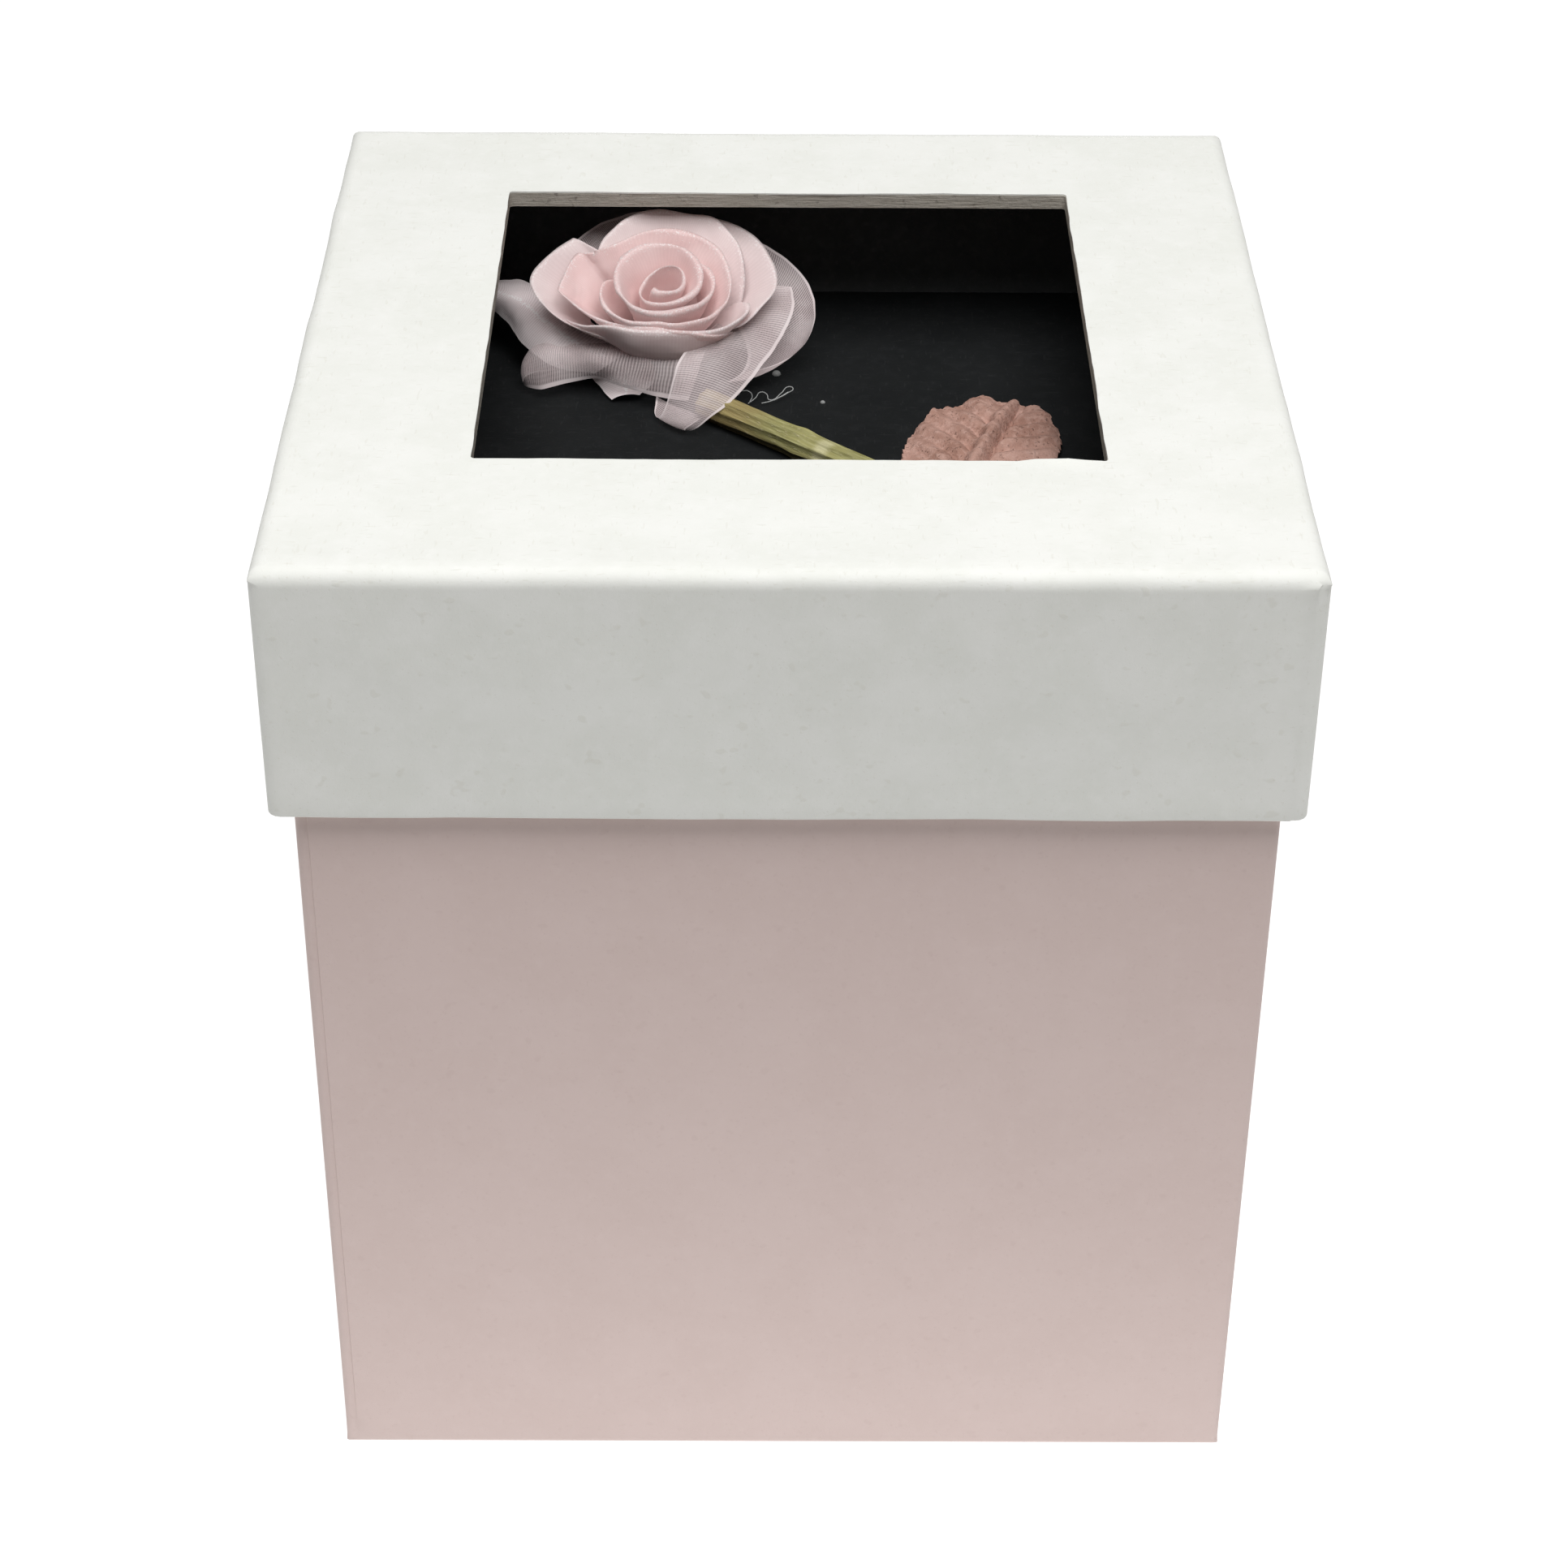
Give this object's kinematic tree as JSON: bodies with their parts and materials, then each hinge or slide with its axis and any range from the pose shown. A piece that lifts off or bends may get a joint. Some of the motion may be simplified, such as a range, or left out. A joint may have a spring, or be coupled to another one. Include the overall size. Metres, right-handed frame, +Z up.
{
  "type": "gift box with window lid and ribbon flower",
  "caption": "Square rigid gift box with a lift-off lid; a window in the lid shows a ribbon rose, stem and leaf in a shallow black recess.",
  "frame": {"origin": "centre of the box's underside, on the surface it stands on", "axes": "+Z up and the way the lid lifts, -Y towards the front, where the leaf and stem point, +X to the right"},
  "size_m": [0.115, 0.115, 0.1293],
  "materials": {
    "greyboard": "matte pressed greyboard",
    "stay_tape": "matte gummed kraft tape",
    "pink_paper": "matte dusty pink wrapping paper",
    "ivory_paper": "matte ivory wrapping paper",
    "black_paper": "matte black lining paper",
    "black_card": "matte black card",
    "pink_organza": "soft sheen organza ribbon, layered",
    "sheer_organza": "sheer organza ribbon",
    "hot_glue": "clear hot melt glue",
    "dried_stem": "dry fibrous stem",
    "dusty_leaf": "matte pressed leaf"
  },
  "bodies": {
    "base": {"base_front_board": "greyboard", "base_back_board": "greyboard", "base_left_board": "greyboard", "base_right_board": "greyboard", "base_floor_board": "greyboard", "base_corner_stay_front_left": "stay_tape", "base_corner_stay_front_right": "stay_tape", "base_corner_stay_back_left": "stay_tape", "base_corner_stay_back_right": "stay_tape", "base_wrap": "pink_paper", "base_bottom_sheet": "pink_paper", "base_wall_lining": "black_paper", "base_floor_lining": "black_paper"},
    "lid": {"lid_front_board": "greyboard", "lid_back_board": "greyboard", "lid_left_board": "greyboard", "lid_right_board": "greyboard", "lid_top_board": "greyboard", "recess_floor_board": "greyboard", "lid_corner_stay_front_left": "stay_tape", "lid_corner_stay_front_right": "stay_tape", "lid_corner_stay_back_left": "stay_tape", "lid_corner_stay_back_right": "stay_tape", "lid_wrap": "ivory_paper", "lid_inner_liner": "ivory_paper", "recess_floor_paper": "black_paper", "recess_front_wall": "black_card", "recess_back_wall": "black_card", "recess_left_wall": "black_card", "recess_right_wall": "black_card", "rose_bud": "pink_organza", "rose_inner_row": "pink_organza", "rose_petal_right": "pink_organza", "rose_petal_back": "pink_organza", "rose_petal_left": "pink_organza", "rose_petal_front": "pink_organza", "rose_loop_right": "sheer_organza", "rose_loop_back": "sheer_organza", "rose_loop_left": "sheer_organza", "rose_loop_front_left": "sheer_organza", "rose_loop_front": "sheer_organza", "glue_pad": "hot_glue", "glue_beads": "hot_glue", "flower_stem": "dried_stem", "flower_leaf": "dusty_leaf"}
  },
  "joints": [
    {"name": "lid_lift", "type": "slide", "parent": "base", "child": "lid", "axis": [0, 0, 1], "range_m": [0, 0.06]}
  ]
}
